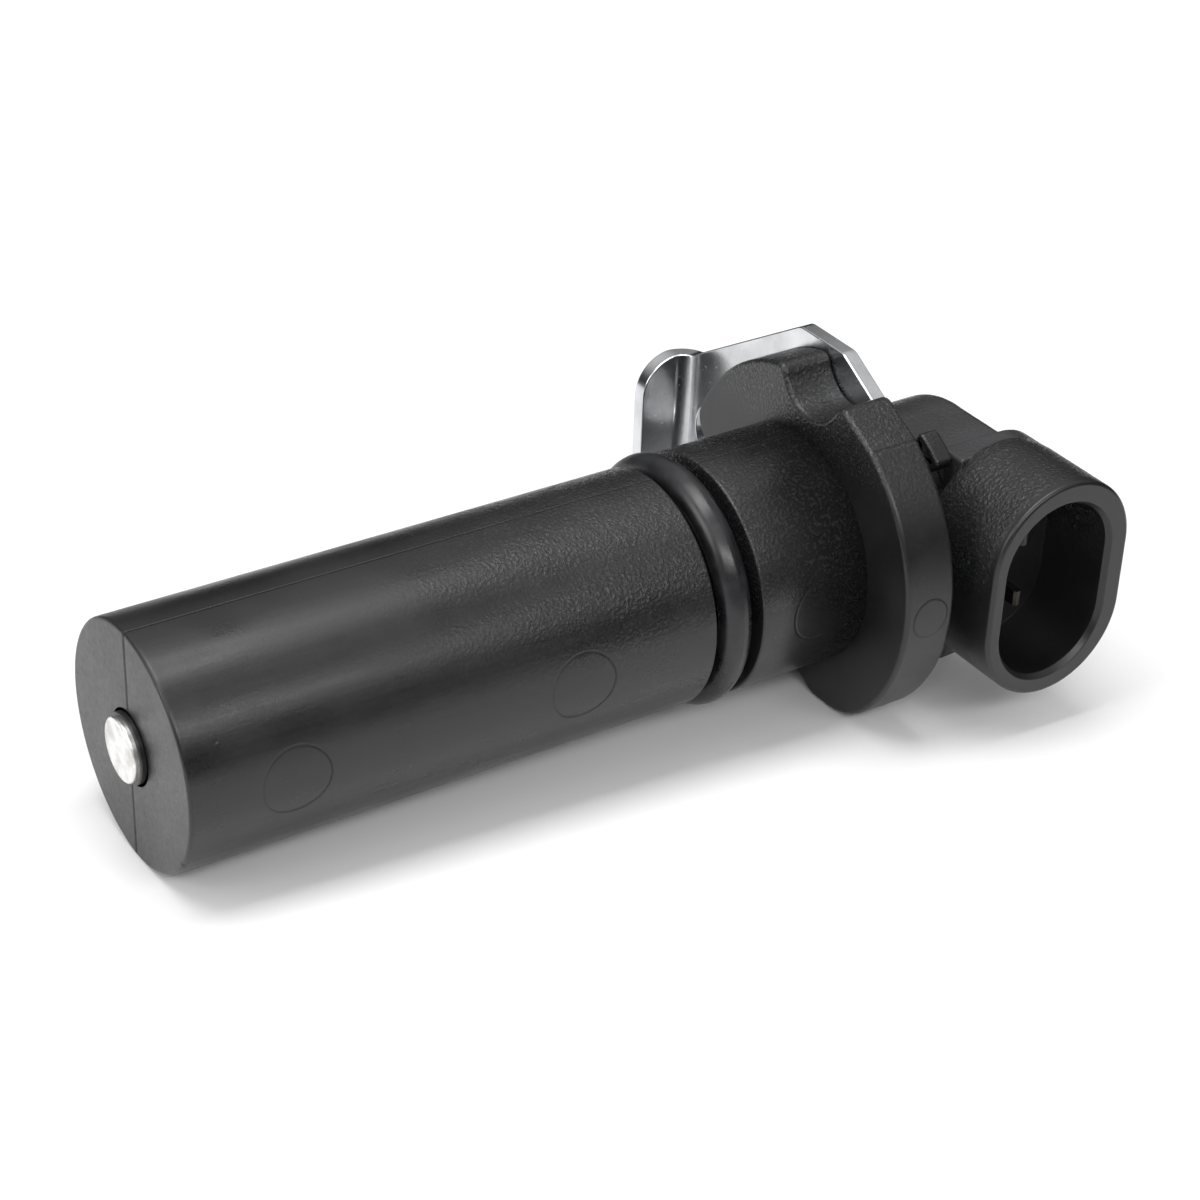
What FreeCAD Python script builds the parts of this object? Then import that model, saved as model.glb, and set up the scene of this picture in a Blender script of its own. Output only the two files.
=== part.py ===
import FreeCAD, Part
import math
import os
import Sketcher

# Crankshaft position sensor: a long moulded nose with a steel pole pin in its tip, an O-ring,
# a round seat flange over a pressed steel plate with one bolt hole, and a side connector socket.
#
# Frame, in millimetres: X runs along the nose, from the tip (-X) to the rear (+X), and X = 0 is
# the flange's seat face.  The connector opens towards -Y, the bolt is on +Y and Z is up.

doc = FreeCAD.newDocument("crank_sensor")
sheet = doc.addObject("Spreadsheet::Sheet", "dims")

# The driving sizes, in millimetres or degrees.
SIZES = {
    # moulded nose and collar
    "nose_length": 66.6,
    "nose_radius": 11.0,
    "tip_break": 0.35,
    "groove_back": 11.4,
    "groove_width": 4.7,
    "groove_depth": 2.3,
    "collar_radius": 11.33,
    # seat flange
    "flange_radius": 17.1,
    "flange_depth": 5.3,
    "flange_flat": 14.3,
    "flange_edge": 0.45,
    "scallop_radius": 4.1,
    "scallop_side": -0.9,
    "scallop_reach": 17.4,
    "scallop_corner": 1.1,
    "notch_radius": 5.0,
    "notch_reach": 18.0,
    "notch_corner": 2.5,
    "relief_radius": 6.5,
    "relief_corner": 2.2,
    "flat_corner": 8.0,
    # rear housing and connector neck
    "rear_radius": 9.75,
    "rear_end": 18.7,
    "rear_edge": 1.2,
    "throat_radius": 8.6,
    "neck_front": 9.3,
    "neck_back": 17.9,
    "neck_reach": 9.5,
    "neck_half": 7.0,
    "neck_block_start": 6.3,
    "neck_block_half": 9.65,
    "stop_front": 8.9,
    "stop_depth": 2.0,
    "stop_radius": 13.15,
    "stop_from": 47.7,
    "stop_to": 63.7,
    # connector shroud
    "shroud_centre": 15.4,
    "shroud_half_width": 7.56,
    "shroud_half_height": 10.54,
    "shroud_wall": 1.78,
    "shroud_reach": 19.2,
    "socket_depth": 8.3,
    "rim_round": 0.6,
    "lock_width": 5.0,
    "lock_height": 1.5,
    "lock_setback": 3.2,
    "lock_length": 3.6,
    # O-ring
    "ring_cord": 3.0,
    # pressed steel plate
    "plate_thickness": 1.5,
    "plate_top": 17.3,
    "plate_top_near": 1.5,
    "plate_top_far": 7.9,
    "plate_slope_side": 11.0,
    "plate_slope_height": 11.2,
    "plate_corner": 1.5,
    "strap_half": 7.0,
    "strap_start": 24.5,
    "foot_inside": 25.2,
    "foot_bend": 1.6,
    "foot_corner": 4.0,
    "foot_end_gap": 0.1,
    "bolt_side": 20.0,
    "bolt_hole_radius": 3.3,
    # pole piece and magnet
    "pin_radius": 2.85,
    "pin_reach": 1.0,
    "head_radius": 4.5,
    "head_depth": 2.0,
    "magnet_length": 12.0,
    # bobbin and winding
    "spigot_radius": 3.4,
    "tip_wall": 2.0,
    "core_wall": 0.9,
    "cheek_radius": 8.5,
    "cheek_depth": 1.4,
    "winding_length": 27.9,
    "winding_radius": 7.5,
    "tape_depth": 0.25,
    "cup_wall": 1.95,
    "insert_play": 0.05,
    # terminal holder, terminals and leads
    "holder_spigot": 2.2,
    "holder_depth": 9.0,
    "blade_pitch": 6.4,
    "blade_width": 1.5,
    "blade_depth": 0.8,
    "blade_bend": 0.6,
    "blade_tip_gap": 4.7,
    "blade_taper": 1.0,
    "blade_root": 4.5,
    "lead_radius": 0.15,
    "lead_bend": 0.5,
    "solder_radius": 0.6,
}


class Size:
    """A number that also remembers the sheet expression it came from."""

    def __init__(self, value, text):
        self.value = value
        self.text = text

    def join(self, other, sign, value):
        return Size(value, "(" + self.text + " " + sign + " " + as_size(other).text + ")")

    def __add__(self, other):
        return self.join(other, "+", self.value + as_size(other).value)

    def __sub__(self, other):
        return self.join(other, "-", self.value - as_size(other).value)

    def __mul__(self, other):
        return self.join(other, "*", self.value * as_size(other).value)

    def __truediv__(self, other):
        return self.join(other, "/", self.value / as_size(other).value)

    def __neg__(self):
        return Size(-self.value, "(-1 * " + self.text + ")")

    def __float__(self):
        return float(self.value)


def as_size(value):
    """Wrap a plain number, so that it can stand in a size expression."""
    if isinstance(value, Size):
        return value
    return Size(float(value), repr(float(value)))


def size(name):
    """The named driving size."""
    return Size(SIZES[name], "dims." + name)


for row, (name, value) in enumerate(SIZES.items(), start=1):
    sheet.set("A" + str(row), name)
    sheet.set("B" + str(row), str(value))
    sheet.setAlias("B" + str(row), name)
doc.recompute()


def bind(thing, prop, value):
    """Tie a property of a document object to a sheet expression."""
    thing.setExpression(prop, as_size(value).text)


def new_body(name):
    return doc.addObject("PartDesign::Body", name)


def new_sketch(body, name, plane, offset=0.0):
    """A sketch on one of the body's own origin planes, moved along its normal by offset."""
    sketch = body.newObject("Sketcher::SketchObject", name)
    for feature in body.Origin.OriginFeatures:
        if feature.Role == plane:
            sketch.AttachmentSupport = [(feature, "")]
    sketch.MapMode = "FlatFace"
    sketch.AttachmentOffset = FreeCAD.Placement(
        FreeCAD.Vector(0, 0, float(as_size(offset))), FreeCAD.Rotation())
    bind(sketch, "AttachmentOffset.Base.z", offset)
    return sketch


def pin_point(sketch, geometry, corner, across, up):
    """Hold one point of a sketch at a place given by two sizes."""
    for kind, value in (("DistanceX", across), ("DistanceY", up)):
        index = sketch.addConstraint(
            Sketcher.Constraint(kind, -1, 1, geometry, corner, float(as_size(value))))
        bind(sketch, "Constraints[" + str(index) + "]", value)


def add_polygon(sketch, points):
    """A closed outline of straight lines, each corner held by its two sizes."""
    count = len(points)
    first = sketch.GeometryCount
    places = [FreeCAD.Vector(float(as_size(a)), float(as_size(b)), 0) for a, b in points]
    for index in range(count):
        sketch.addGeometry(Part.LineSegment(places[index], places[(index + 1) % count]), False)
    for index in range(count):
        sketch.addConstraint(Sketcher.Constraint(
            "Coincident", first + index, 2, first + (index + 1) % count, 1))
    for index, (across, up) in enumerate(points):
        pin_point(sketch, first + index, 1, across, up)


def add_circle(sketch, across, up, radius):
    """A circle held by its centre and radius."""
    centre = FreeCAD.Vector(float(as_size(across)), float(as_size(up)), 0)
    circle = Part.Circle(centre, FreeCAD.Vector(0, 0, 1), float(as_size(radius)))
    geometry = sketch.addGeometry(circle, False)
    pin_point(sketch, geometry, 3, across, up)
    index = sketch.addConstraint(
        Sketcher.Constraint("Radius", geometry, float(as_size(radius))))
    bind(sketch, "Constraints[" + str(index) + "]", radius)


def add_slot(sketch, across, half_width, half_height):
    """An upright oval with straight sides, centred on the sketch's horizontal axis."""
    x = float(as_size(across))
    radius = float(as_size(half_width))
    rise = float(as_size(half_height)) - radius
    first = sketch.GeometryCount
    up = FreeCAD.Vector(0, 0, 1)
    top = Part.Circle(FreeCAD.Vector(x, rise, 0), up, radius)
    bottom = Part.Circle(FreeCAD.Vector(x, -rise, 0), up, radius)
    sketch.addGeometry(Part.ArcOfCircle(top, 0, math.pi), False)
    sketch.addGeometry(Part.LineSegment(
        FreeCAD.Vector(x - radius, rise, 0), FreeCAD.Vector(x - radius, -rise, 0)), False)
    sketch.addGeometry(Part.ArcOfCircle(bottom, math.pi, 2 * math.pi), False)
    sketch.addGeometry(Part.LineSegment(
        FreeCAD.Vector(x + radius, -rise, 0), FreeCAD.Vector(x + radius, rise, 0)), False)
    for index in range(4):
        sketch.addConstraint(Sketcher.Constraint(
            "Coincident", first + index, 2, first + (index + 1) % 4, 1))
    pin_point(sketch, first, 3, across, as_size(half_height) - half_width)
    pin_point(sketch, first + 2, 3, across, -(as_size(half_height) - half_width))
    for arc in (first, first + 2):
        index = sketch.addConstraint(Sketcher.Constraint("Radius", arc, radius))
        bind(sketch, "Constraints[" + str(index) + "]", half_width)
        for end in (1, 2):
            sketch.addConstraint(Sketcher.Constraint("Horizontal", arc, 3, arc, end))


def revolve(body, name, sketch, kind="PartDesign::Revolution"):
    """Turn a sketch about the X axis, to add or to cut."""
    turned = body.newObject(kind, name)
    turned.Profile = sketch
    turned.ReferenceAxis = (sketch, ["H_Axis"])
    turned.Angle = 360
    sketch.Visibility = False
    doc.recompute()
    return turned


def pad(body, name, sketch, length, both_ways=False, backwards=False):
    """Raise a sketch by a length."""
    raised = body.newObject("PartDesign::Pad", name)
    raised.Profile = sketch
    raised.Length = float(as_size(length))
    bind(raised, "Length", length)
    raised.Midplane = both_ways
    raised.Reversed = backwards
    doc.recompute()
    return raised


def pocket(body, name, sketch, length=None, backwards=False):
    """Cut a sketch into the body, by a length or right through both ways."""
    before = body.Shape.Volume
    cut = body.newObject("PartDesign::Pocket", name)
    cut.Profile = sketch
    if length is None:
        cut.Type = "ThroughAll"
        cut.Midplane = True
    else:
        cut.Type = "Length"
        cut.Length = float(as_size(length))
        bind(cut, "Length", length)
        cut.Reversed = backwards
    doc.recompute()
    if body.Shape.Volume >= before - 1e-6:
        raise RuntimeError(name + " cuts nothing")
    return cut


def edges_where(feature, test):
    """Names of a feature's edges whose two ends both pass a test."""
    names = []
    for index, edge in enumerate(feature.Shape.Edges, start=1):
        points = [edge.valueAt(edge.FirstParameter), edge.valueAt(edge.LastParameter)]
        points.append(edge.valueAt((edge.FirstParameter + edge.LastParameter) / 2))
        if all(test(point, edge) for point in points):
            names.append("Edge" + str(index))
    return names


def dress(body, kind, name, feature, names, amount):
    """Round (Fillet) or bevel (Chamfer) the named edges."""
    if not names:
        raise RuntimeError(name + " finds no edge")
    dressed = body.newObject("PartDesign::" + kind, name)
    dressed.Base = (feature, names)
    prop = "Radius" if kind == "Fillet" else "Size"
    setattr(dressed, prop, float(as_size(amount)))
    bind(dressed, prop, amount)
    doc.recompute()
    return dressed


def near(a, b, slack=0.02):
    return abs(a - float(as_size(b))) < slack


# Shared places, worked out once.
tip_face = -size("nose_length")
groove_back_face = -size("groove_back")
groove_front_face = groove_back_face - size("groove_width")
groove_floor = size("nose_radius") - size("groove_depth")
plate_front = size("flange_depth")
plate_back = plate_front + size("plate_thickness")
socket_inside_width = size("shroud_half_width") - size("shroud_wall")
socket_inside_height = size("shroud_half_height") - size("shroud_wall")
socket_floor = -(size("shroud_reach") - size("socket_depth"))

cheek_front_face = tip_face + size("tip_wall")
winding_front = cheek_front_face + size("cheek_depth")
winding_back = winding_front + size("winding_length")
cheek_back_face = winding_back + size("cheek_depth")
core_radius = size("pin_radius") + size("insert_play") + size("core_wall")
cup_inside = size("head_radius") + size("insert_play")
cup_radius = cup_inside + size("cup_wall")
head_back = cheek_back_face + size("head_depth")
magnet_back = head_back + size("magnet_length")
cup_end = magnet_back + size("holder_spigot")
holder_end = cup_end + size("holder_depth")
blade_offset = size("blade_pitch") / 2
blade_edge = blade_offset + size("blade_width") / 2
blade_start = holder_end - size("blade_root")
blade_tip = -(size("shroud_reach") - size("blade_tip_gap"))
solder_place = blade_start + size("solder_radius") + size("lead_radius")


def build_housing_form():
    """The outer form of the moulding: nose, groove, collar, flange, rear housing and socket."""
    body = new_body("housing_form")
    profile = new_sketch(body, "housing_profile", "XY_Plane")
    zero = as_size(0)
    add_polygon(profile, [
        (tip_face, zero),
        (tip_face, size("nose_radius")),
        (groove_front_face, size("nose_radius")),
        (groove_front_face, groove_floor),
        (groove_back_face, groove_floor),
        (groove_back_face, size("collar_radius")),
        (zero, size("collar_radius")),
        (zero, size("flange_radius")),
        (plate_front, size("flange_radius")),
        (plate_front, size("throat_radius")),
        (plate_back, size("throat_radius")),
        (plate_back, size("rear_radius")),
        (size("rear_end"), size("rear_radius")),
        (size("rear_end"), zero),
    ])
    turned = revolve(body, "turned_form", profile)

    scallop = new_sketch(body, "scallop_circle", "YZ_Plane")
    add_circle(scallop, size("scallop_side"), size("scallop_reach"), size("scallop_radius"))
    pocket(body, "top_scallop", scallop)

    relief = new_sketch(body, "relief_circle", "YZ_Plane")
    add_circle(relief, size("bolt_side"), zero, size("relief_radius"))
    pocket(body, "bolt_relief", relief)

    flat = new_sketch(body, "flat_outline", "YZ_Plane")
    reach = size("flange_radius") + 1
    add_polygon(flat, [(-reach, -reach), (reach, -reach),
                       (reach, -size("flange_flat")), (-reach, -size("flange_flat"))])
    pocket(body, "bottom_flat", flat)

    notch = new_sketch(body, "notch_circle", "YZ_Plane")
    add_circle(notch, size("scallop_side"), -size("notch_reach"), size("notch_radius"))
    last = pocket(body, "bottom_notch", notch)

    def flange_corner(point, edge, low, high):
        return (0 <= point.x <= float(plate_front) and len(edge.Vertexes) == 2
                and abs(edge.tangentAt(edge.FirstParameter).x) > 0.99
                and low(point) and high(point))

    rim = float(size("flange_radius"))
    scallop_edges = edges_where(last, lambda p, e: flange_corner(
        p, e, lambda q: q.z > rim * 0.8, lambda q: abs(math.hypot(q.y, q.z) - rim) < 0.05))
    last = dress(body, "Fillet", "scallop_rounding", last, scallop_edges, size("scallop_corner"))
    relief_edges = edges_where(last, lambda p, e: flange_corner(
        p, e, lambda q: q.y > rim * 0.8, lambda q: abs(math.hypot(q.y, q.z) - rim) < 0.05))
    last = dress(body, "Fillet", "relief_rounding", last, relief_edges, size("relief_corner"))
    flat_edges = edges_where(last, lambda p, e: flange_corner(
        p, e, lambda q: near(q.z, -size("flange_flat")), lambda q: abs(q.y) > rim * 0.4))
    last = dress(body, "Fillet", "flat_rounding", last, flat_edges, size("flat_corner"))
    notch_edges = edges_where(last, lambda p, e: flange_corner(
        p, e, lambda q: near(q.z, -size("flange_flat")), lambda q: abs(q.y) < rim * 0.35))
    last = dress(body, "Fillet", "notch_rounding", last, notch_edges, size("notch_corner"))

    def on_flange_face(point, edge, place):
        return near(point.x, place) and math.hypot(point.y, point.z) > float(
            size("collar_radius")) + 0.5
    rim_edges = edges_where(last, lambda p, e: on_flange_face(p, e, 0.0)
                            or on_flange_face(p, e, plate_front))
    last = dress(body, "Fillet", "flange_edge_rounding", last, rim_edges, size("flange_edge"))
    tip_edges = edges_where(last, lambda p, e: near(p.x, tip_face)
                            and near(math.hypot(p.y, p.z), size("nose_radius")))
    last = dress(body, "Fillet", "tip_rounding", last, tip_edges, size("tip_break"))
    end_edges = edges_where(last, lambda p, e: near(p.x, size("rear_end"))
                            and near(math.hypot(p.y, p.z), size("rear_radius")))
    last = dress(body, "Fillet", "rear_rounding", last, end_edges, size("rear_edge"))

    neck = new_sketch(body, "neck_outline", "XZ_Plane")
    add_polygon(neck, [(size("neck_front"), -size("neck_half")),
                       (size("neck_back"), -size("neck_half")),
                       (size("neck_back"), size("neck_half")),
                       (size("neck_front"), size("neck_half"))])
    pad(body, "connector_neck", neck, size("neck_reach"))

    block = new_sketch(body, "neck_block_outline", "XZ_Plane", size("neck_block_start"))
    add_polygon(block, [(size("neck_front"), -size("neck_block_half")),
                        (size("neck_back"), -size("neck_block_half")),
                        (size("neck_back"), size("neck_block_half")),
                        (size("neck_front"), size("neck_block_half"))])
    pad(body, "neck_block", block, size("neck_reach") - size("neck_block_start"))

    stop = new_sketch(body, "stop_outline", "YZ_Plane", size("stop_front"))
    start = math.radians(float(size("stop_from")))
    end = math.radians(float(size("stop_to")))
    inner = size("rear_radius") * 0.8
    outer = size("stop_radius")
    add_polygon(stop, [(-(inner * math.cos(start)), inner * math.sin(start)),
                       (-(outer * math.cos(start)), outer * math.sin(start)),
                       (-(outer * math.cos((start + end) / 2)), outer * math.sin((start + end) / 2)),
                       (-(outer * math.cos(end)), outer * math.sin(end)),
                       (-(inner * math.cos(end)), inner * math.sin(end))])
    pad(body, "turn_stop", stop, size("stop_depth"))

    shroud = new_sketch(body, "shroud_outline", "XZ_Plane", size("neck_reach"))
    add_slot(shroud, size("shroud_centre"), size("shroud_half_width"), size("shroud_half_height"))
    pad(body, "connector_shroud", shroud, size("shroud_reach") - size("neck_reach"))

    lock = new_sketch(body, "lock_outline", "XY_Plane")
    lock_face = size("shroud_centre") + size("shroud_half_width")
    lock_front = -(size("shroud_reach") - size("lock_setback"))
    add_polygon(lock, [(lock_face - 0.5, lock_front), (lock_face, lock_front),
                       (lock_face + size("lock_height"), lock_front + size("lock_length")),
                       (lock_face - 0.5, lock_front + size("lock_length"))])
    last = pad(body, "lock_ramp", lock, size("lock_width"), both_ways=True)

    outer_rim = edges_where(last, lambda p, e: near(p.y, -size("shroud_reach")))
    last = dress(body, "Fillet", "rim_rounding", last, outer_rim, size("rim_round"))

    socket = new_sketch(body, "socket_outline", "XZ_Plane", size("shroud_reach"))
    add_slot(socket, size("shroud_centre"), socket_inside_width, socket_inside_height)
    last = pocket(body, "connector_socket", socket, size("socket_depth"))
    inner_rim = edges_where(last, lambda p, e: near(p.y, -size("shroud_reach"))
                            and abs(p.z) < float(socket_inside_height) + 0.05
                            and abs(p.x - float(size("shroud_centre")))
                            < float(socket_inside_width) + 0.05)
    dress(body, "Chamfer", "socket_lead_in", last, inner_rim, size("rim_round") * 0.6)
    return body


def build_plate():
    """The pressed plate: flat behind the flange, one bolt hole, and a foot bent to the seat."""
    body = new_body("mounting_plate")
    bend_out = size("foot_bend") + size("plate_thickness")
    foot_out = size("foot_inside") + size("plate_thickness")
    far_side = size("plate_slope_side")
    section = new_sketch(body, "plate_section", "XY_Plane")
    add_polygon(section, [
        (plate_front, -far_side),
        (plate_front, size("foot_inside")),
        (size("foot_end_gap"), size("foot_inside")),
        (size("foot_end_gap"), foot_out),
        (plate_back, foot_out),
        (plate_back, -far_side),
    ])
    last = pad(body, "bent_strip", section, size("plate_top") * 2 + 2, both_ways=True)
    inner_bend = edges_where(last, lambda p, e: near(p.x, plate_front)
                             and near(p.y, size("foot_inside")))
    last = dress(body, "Fillet", "inside_bend", last, inner_bend, size("foot_bend"))
    outer_bend = edges_where(last, lambda p, e: near(p.x, plate_back) and near(p.y, foot_out))
    last = dress(body, "Fillet", "outside_bend", last, outer_bend, bend_out)

    outline = new_sketch(body, "plate_outline", "YZ_Plane")
    border = size("plate_top") + 20
    add_polygon(outline, [(-border, -border), (border, -border),
                          (border, border), (-border, border)])
    slope = (size("plate_top") - size("strap_half")) / (
        size("strap_start") - size("plate_top_far"))
    low_far = size("strap_start") - (size("flange_flat") - 0.2 - size("strap_half")) / slope
    low = -(size("flange_flat") - 0.2)
    add_polygon(outline, [
        (-far_side, size("plate_slope_height")),
        (size("plate_top_near"), size("plate_top")),
        (size("plate_top_far"), size("plate_top")),
        (size("strap_start"), size("strap_half")),
        (foot_out + 1, size("strap_half")),
        (foot_out + 1, -size("strap_half")),
        (size("strap_start"), -size("strap_half")),
        (low_far, low),
        (-size("plate_top_near"), low),
        (-far_side, -size("plate_slope_height")),
    ])
    last = pocket(body, "trimmed_outline", outline)

    holes = new_sketch(body, "plate_holes", "YZ_Plane")
    add_circle(holes, as_size(0), as_size(0), size("throat_radius"))
    add_circle(holes, size("bolt_side"), as_size(0), size("bolt_hole_radius"))
    last = pocket(body, "body_and_bolt_holes", holes)

    foot_edges = edges_where(last, lambda p, e: near(p.x, size("foot_end_gap"))
                             and near(abs(p.z), size("strap_half"))
                             and abs(e.tangentAt(e.FirstParameter).y) > 0.99)
    last = dress(body, "Fillet", "foot_rounding", last, foot_edges, size("foot_corner"))

    def outline_corner(point, edge):
        return (abs(edge.tangentAt(edge.FirstParameter).x) > 0.99
                and point.x > float(plate_front) - 0.01
                and math.hypot(point.y, point.z) > float(size("throat_radius")) + 1
                and point.y < float(size("plate_top_far")) + 9
                and edge.Length < float(size("plate_thickness")) + 0.01)
    corner_edges = edges_where(last, outline_corner)
    dress(body, "Fillet", "corner_rounding", last, corner_edges, size("plate_corner"))
    return body


def build_o_ring():
    """The seal ring, a torus seated on the floor of its groove."""
    ring = doc.addObject("Part::Torus", "o_ring")
    cord = size("ring_cord") / 2
    bind(ring, "Radius1", groove_floor + cord)
    bind(ring, "Radius2", cord)
    ring.Placement = FreeCAD.Placement(
        FreeCAD.Vector(0, 0, 0), FreeCAD.Rotation(FreeCAD.Vector(0, 1, 0), 90))
    bind(ring, "Placement.Base.x", (groove_front_face + groove_back_face) / 2)
    return ring


def build_turned(name, points):
    """A turned piece: one closed half profile, given as (X, radius), about the X axis."""
    body = new_body(name)
    sketch = new_sketch(body, name + "_profile", "XY_Plane")
    add_polygon(sketch, points)
    revolve(body, name + "_turned", sketch)
    return body


def build_pole_piece():
    """The soft iron pin that shows in the tip, with a head that seats on the magnet."""
    zero = as_size(0)
    return build_turned("pole_piece", [
        (tip_face - size("pin_reach"), zero),
        (tip_face - size("pin_reach"), size("pin_radius")),
        (cheek_back_face, size("pin_radius")),
        (cheek_back_face, size("head_radius")),
        (head_back, size("head_radius")),
        (head_back, zero),
    ])


def build_magnet():
    zero = as_size(0)
    return build_turned("magnet", [
        (head_back, zero),
        (head_back, size("head_radius")),
        (magnet_back, size("head_radius")),
        (magnet_back, zero),
    ])


def build_bobbin_form():
    """The spool: a spigot through the tip, a core between two cheeks and an open rear cup."""
    bore = size("pin_radius") + size("insert_play")
    return build_turned("bobbin_form", [
        (tip_face, bore),
        (tip_face, size("spigot_radius")),
        (cheek_front_face, size("spigot_radius")),
        (cheek_front_face, size("cheek_radius")),
        (winding_front, size("cheek_radius")),
        (winding_front, core_radius),
        (winding_back, core_radius),
        (winding_back, size("cheek_radius")),
        (cheek_back_face, size("cheek_radius")),
        (cheek_back_face, cup_radius),
        (cup_end, cup_radius),
        (cup_end, cup_inside),
        (cheek_back_face, cup_inside),
        (cheek_back_face, bore),
    ])


def build_winding():
    return build_turned("coil_winding", [
        (winding_front, core_radius),
        (winding_front, size("winding_radius")),
        (winding_back, size("winding_radius")),
        (winding_back, core_radius),
    ])


def build_tape():
    outside = size("winding_radius") + size("tape_depth")
    return build_turned("winding_tape", [
        (winding_front, size("winding_radius")),
        (winding_front, outside),
        (winding_back, outside),
        (winding_back, size("winding_radius")),
    ])


def build_holder_form():
    """The terminal holder: a spigot that closes the bobbin's cup behind the magnet."""
    zero = as_size(0)
    return build_turned("holder_form", [
        (magnet_back, zero),
        (magnet_back, cup_inside - size("insert_play")),
        (cup_end, cup_inside - size("insert_play")),
        (cup_end, cup_radius),
        (holder_end, cup_radius),
        (holder_end, zero),
    ])


def build_terminal(name, side):
    """A stamped strip from the holder to the socket, bent square, with a tapered tip."""
    body = new_body(name)
    half = size("blade_depth") / 2
    x_out = size("shroud_centre") + half
    x_in = size("shroud_centre") - half
    level = blade_offset * side
    section = new_sketch(body, name + "_section", "XY_Plane", level)
    add_polygon(section, [
        (blade_start, half),
        (x_out, half),
        (x_out, blade_tip),
        (x_in, blade_tip),
        (x_in, -half),
        (blade_start, -half),
    ])
    last = pad(body, name + "_strip", section, size("blade_width"), both_ways=True)
    inside = edges_where(last, lambda p, e: near(p.x, x_in) and near(p.y, -half))
    last = dress(body, "Fillet", name + "_inside_bend", last, inside, size("blade_bend"))
    outside = edges_where(last, lambda p, e: near(p.x, x_out) and near(p.y, half))
    last = dress(body, "Fillet", name + "_outside_bend", last, outside,
                 size("blade_bend") + size("blade_depth"))
    tip = edges_where(last, lambda p, e: near(p.y, blade_tip)
                      and abs(e.tangentAt(e.FirstParameter).z) > 0.99)
    dress(body, "Chamfer", name + "_tip", last, tip, half * 0.6)
    return body


def rod(name, radius, length, place):
    """An upright round rod, with its radius, length and lower end from the sheet."""
    piece = doc.addObject("Part::Cylinder", name)
    bind(piece, "Radius", radius)
    bind(piece, "Height", length)
    for axis, value in zip("xyz", place):
        bind(piece, "Placement.Base." + axis, value)
    return piece


def build_lead(name, side):
    """An end of the winding wire: back through the cup's wall, then in to its terminal."""
    body = new_body(name)
    height = (cup_inside + cup_radius) / 2 * side
    solder_top = (blade_edge + size("solder_radius")) * side
    bend = size("lead_bend")
    places = [(winding_back, height), (solder_place - bend, height),
              (solder_place, height - bend * side), (solder_place, solder_top)]
    corners = [FreeCAD.Vector(float(a), float(b), 0) for a, b in places]
    path = new_sketch(body, name + "_path", "XZ_Plane")
    path.addGeometry(Part.LineSegment(corners[0], corners[1]), False)
    path.addGeometry(Part.LineSegment(corners[2], corners[3]), False)
    centre = FreeCAD.Vector(corners[1].x, corners[2].y, 0)
    ring = Part.Circle(centre, FreeCAD.Vector(0, 0, 1), float(bend))
    quarter = (0, math.pi / 2) if side > 0 else (-math.pi / 2, 0)
    path.addGeometry(Part.ArcOfCircle(ring, quarter[0], quarter[1]), False)
    pin_point(path, 0, 1, places[0][0], places[0][1])
    pin_point(path, 0, 2, places[1][0], places[1][1])
    pin_point(path, 1, 1, places[2][0], places[2][1])
    pin_point(path, 1, 2, places[3][0], places[3][1])
    run_end, drop_end = (2, 1) if side > 0 else (1, 2)
    path.addConstraint(Sketcher.Constraint("Coincident", 2, run_end, 0, 2))
    path.addConstraint(Sketcher.Constraint("Coincident", 2, drop_end, 1, 1))
    index = path.addConstraint(Sketcher.Constraint("Radius", 2, float(bend)))
    bind(path, "Constraints[" + str(index) + "]", bend)
    section = new_sketch(body, name + "_section", "YZ_Plane", winding_back)
    add_circle(section, as_size(0), height, size("lead_radius"))
    doc.recompute()
    wire = body.newObject("PartDesign::AdditivePipe", name + "_wire")
    wire.Profile = section
    wire.Spine = (path, ["Edge1", "Edge2", "Edge3"])
    doc.recompute()
    return body


def build_solder(name, side):
    """The solder bead between a lead and the edge of its terminal."""
    start = blade_edge if side > 0 else -(blade_edge + size("solder_radius"))
    return rod(name, size("solder_radius"), size("solder_radius"),
               (solder_place, as_size(0), start))


def build_core_room():
    """The room that the bobbin, its winding and the holder take up inside the moulding."""
    zero = as_size(0)
    outside = size("winding_radius") + size("tape_depth")
    return build_turned("core_room", [
        (tip_face - size("pin_reach"), zero),
        (tip_face - size("pin_reach"), size("spigot_radius")),
        (cheek_front_face, size("spigot_radius")),
        (cheek_front_face, size("cheek_radius")),
        (winding_front, size("cheek_radius")),
        (winding_front, outside),
        (winding_back, outside),
        (winding_back, size("cheek_radius")),
        (cheek_back_face, size("cheek_radius")),
        (cheek_back_face, cup_radius),
        (holder_end, cup_radius),
        (holder_end, zero),
    ])


def cut_around(name, form, inserts):
    """A moulding cast around its inserts: the form with each insert's room taken out."""
    room = doc.addObject("Part::MultiFuse", name + "_room")
    room.Shapes = inserts
    moulded = doc.addObject("Part::Cut", name)
    moulded.Base = form
    moulded.Tool = room
    doc.recompute()
    return moulded


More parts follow.
